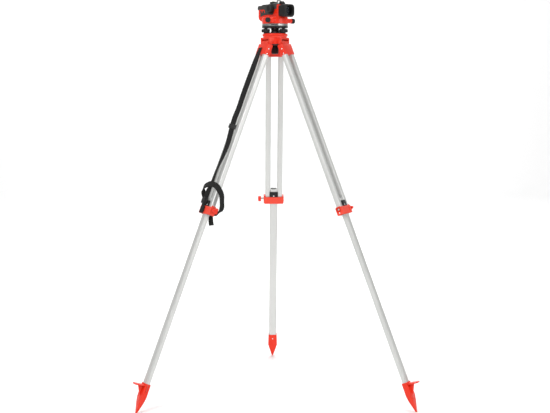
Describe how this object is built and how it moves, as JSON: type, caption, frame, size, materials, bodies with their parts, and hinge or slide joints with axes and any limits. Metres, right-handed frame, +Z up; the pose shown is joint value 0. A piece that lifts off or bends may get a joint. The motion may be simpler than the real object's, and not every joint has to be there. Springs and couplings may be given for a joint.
{
  "type": "automatic level",
  "caption": "Automatic optical level on an extended aluminium tripod with telescopic legs, spike feet and a carrying strap.",
  "frame": {"origin": "centre of the whole object's base, on the ground", "axes": "+Z up; +Y towards the rear leg; +X to the right when looking along +Y. The tripod's vertical axis is at x = 0, y = -0.1675 m"},
  "size_m": [1.2102, 1.0506, 1.7635],
  "materials": {
    "red_casting": "semi-gloss powder coat on die-cast aluminium",
    "red_plastic": "satin moulded plastic",
    "leg_aluminium": "satin anodised extrusion",
    "zinc_steel": "zinc plated",
    "black_plastic": "fine-grained moulding",
    "grey_plastic": "dark grey fine-grained moulding",
    "black_metal": "black enamel on machined aluminium",
    "level_red": "gloss enamel on die-cast aluminium",
    "ring_metal": "satin",
    "webbing": "woven polypropylene webbing",
    "optical_glass": "clear",
    "mirror_face": "silvered"
  },
  "bodies": {
    "head": {"tripod_head": "red_casting", "retaining_arm": "black_metal", "base_plate": "black_metal", "tribrach": "black_metal", "hinge_pin_left": "zinc_steel", "hinge_pin_right": "zinc_steel", "hinge_pin_rear": "zinc_steel"},
    "fixing_screw_unit": {"fixing_screw": "zinc_steel", "fixing_knob": "black_plastic"},
    "circle": {"horizontal_circle": "ring_metal"},
    "alidade": {"main_body": "level_red", "top_cover": "grey_plastic", "objective_hood": "black_plastic", "objective_lens": "optical_glass", "bubble_housing": "grey_plastic", "bubble_vial": "optical_glass", "open_sight": "black_plastic"},
    "eyepiece_unit": {"eyepiece": "black_plastic", "eyepiece_lens": "optical_glass"},
    "focus_unit": {"focus_knob": "black_plastic"},
    "focusing_unit": {"focusing_cell": "ring_metal", "focusing_lens": "optical_glass"},
    "pendulum": {"compensator": "ring_metal"},
    "tangent_unit": {"tangent_screw": "black_plastic", "tangent_knob": "black_plastic"},
    "mirror_unit": {"bubble_mirror": "mirror_face"},
    "foot_screw_1_unit": {"foot_screw_1": "black_plastic"},
    "foot_screw_2_unit": {"foot_screw_2": "black_plastic"},
    "foot_screw_3_unit": {"foot_screw_3": "black_plastic"},
    "upper_leg_left": {"leg_bracket_left": "red_casting", "upper_tube_a_left": "leg_aluminium", "upper_tube_b_left": "leg_aluminium", "clamp_body_left": "red_casting", "shoulder_strap": "webbing", "strap_buckle": "black_plastic", "tie_strap": "webbing", "strap_tail": "webbing"},
    "lower_leg_left_unit": {"lower_leg_left": "leg_aluminium", "slider_guide_left": "black_plastic", "foot_left": "red_casting"},
    "clamp_knob_left_unit": {"clamp_screw_left": "zinc_steel", "clamp_knob_left": "red_plastic"},
    "upper_leg_right": {"leg_bracket_right": "red_casting", "upper_tube_a_right": "leg_aluminium", "upper_tube_b_right": "leg_aluminium", "clamp_body_right": "red_casting"},
    "lower_leg_right_unit": {"lower_leg_right": "leg_aluminium", "slider_guide_right": "black_plastic", "foot_right": "red_casting"},
    "clamp_knob_right_unit": {"clamp_screw_right": "zinc_steel", "clamp_knob_right": "red_plastic"},
    "upper_leg_rear": {"leg_bracket_rear": "red_casting", "upper_tube_a_rear": "leg_aluminium", "upper_tube_b_rear": "leg_aluminium", "clamp_body_rear": "red_casting"},
    "lower_leg_rear_unit": {"lower_leg_rear": "leg_aluminium", "slider_guide_rear": "black_plastic", "foot_rear": "red_casting"},
    "clamp_knob_rear_unit": {"clamp_screw_rear": "zinc_steel", "clamp_knob_rear": "red_plastic"}
  },
  "joints": [
    {"name": "fixing_screw_turn", "type": "hinge", "parent": "head", "child": "fixing_screw_unit", "pos_m": [0, -0.16747, 1.55], "axis": [0, 0, -1], "range_deg": [0, 810]},
    {"name": "foot_screw_1_turn", "type": "hinge", "parent": "head", "child": "foot_screw_1_unit", "pos_m": [0.00392, -0.12264, 1.612], "axis": [0, 0, 1], "continuous": true},
    {"name": "foot_screw_2_turn", "type": "hinge", "parent": "head", "child": "foot_screw_2_unit", "pos_m": [-0.04078, -0.18649, 1.612], "axis": [0, 0, 1], "continuous": true},
    {"name": "foot_screw_3_turn", "type": "hinge", "parent": "head", "child": "foot_screw_3_unit", "pos_m": [0.03686, -0.19328, 1.612], "axis": [0, 0, 1], "continuous": true},
    {"name": "circle_turn", "type": "hinge", "parent": "head", "child": "circle", "pos_m": [0, -0.16747, 1.636], "axis": [0, 0, 1], "continuous": true},
    {"name": "level_turn", "type": "hinge", "parent": "head", "child": "alidade", "pos_m": [0, -0.16747, 1.66], "axis": [0, 0, 1], "continuous": true},
    {"name": "tangent_turn", "type": "hinge", "parent": "alidade", "child": "tangent_unit", "pos_m": [0.02032, -0.19347, 1.6556], "axis": [0.788, 0.6157, 0], "continuous": true},
    {"name": "focus_turn", "type": "hinge", "parent": "alidade", "child": "focus_unit", "pos_m": [-0.02177, -0.1997, 1.706], "axis": [-0.788, -0.6157, 0], "range_deg": [-450, 450]},
    {"name": "focusing_slide", "type": "slide", "parent": "alidade", "child": "focusing_unit", "axis": [0.6157, -0.788, 0], "range_m": [-0.009, 0.009]},
    {"name": "dioptre_turn", "type": "hinge", "parent": "alidade", "child": "eyepiece_unit", "pos_m": [-0.05849, -0.09261, 1.696], "axis": [-0.6157, 0.788, 0], "range_deg": [-150, 150]},
    {"name": "pendulum_swing", "type": "hinge", "parent": "alidade", "child": "pendulum", "pos_m": [-0.01047, -0.15407, 1.714], "axis": [0.788, 0.6157, 0], "range_deg": [-1.5, 1.5]},
    {"name": "mirror_fold", "type": "hinge", "parent": "alidade", "child": "mirror_unit", "pos_m": [0.01662, -0.18875, 1.7415], "axis": [-0.788, -0.6157, 0], "range_deg": [0, 90]},
    {"name": "leg_fold_left", "type": "hinge", "parent": "head", "child": "upper_leg_left", "pos_m": [-0.03637, -0.18847, 1.56], "axis": [0.5, -0.866, 0], "range_deg": [-12, 21.17]},
    {"name": "leg_slide_left", "type": "slide", "parent": "upper_leg_left", "child": "lower_leg_left_unit", "axis": [0.3296, 0.1903, 0.9248], "range_m": [0, 0.645]},
    {"name": "clamp_turn_left", "type": "hinge", "parent": "upper_leg_left", "child": "clamp_knob_left_unit", "pos_m": [-0.25797, -0.39377, 0.84424], "axis": [0.5, -0.866, 0], "range_deg": [0, 450]},
    {"name": "leg_fold_right", "type": "hinge", "parent": "head", "child": "upper_leg_right", "pos_m": [0.03637, -0.18847, 1.56], "axis": [0.5, 0.866, 0], "range_deg": [-12, 21.17]},
    {"name": "leg_slide_right", "type": "slide", "parent": "upper_leg_right", "child": "lower_leg_right_unit", "axis": [-0.3296, 0.1903, 0.9248], "range_m": [0, 0.645]},
    {"name": "clamp_turn_right", "type": "hinge", "parent": "upper_leg_right", "child": "clamp_knob_right_unit", "pos_m": [0.32497, -0.27773, 0.84424], "axis": [0.5, 0.866, 0], "range_deg": [0, 450]},
    {"name": "leg_fold_rear", "type": "hinge", "parent": "head", "child": "upper_leg_rear", "pos_m": [0, -0.12547, 1.56], "axis": [-1, 0, 0], "range_deg": [-12, 21.17]},
    {"name": "leg_slide_rear", "type": "slide", "parent": "upper_leg_rear", "child": "lower_leg_rear_unit", "axis": [0, -0.3806, 0.9248], "range_m": [0, 0.645]},
    {"name": "clamp_turn_rear", "type": "hinge", "parent": "upper_leg_rear", "child": "clamp_knob_rear_unit", "pos_m": [-0.067, 0.16909, 0.84424], "axis": [-1, 0, 0], "range_deg": [0, 450]}
  ],
  "couplings": [
    {"joint": "focusing_slide", "follows": "focus_turn", "m_per_rad": 0.001145}
  ]
}
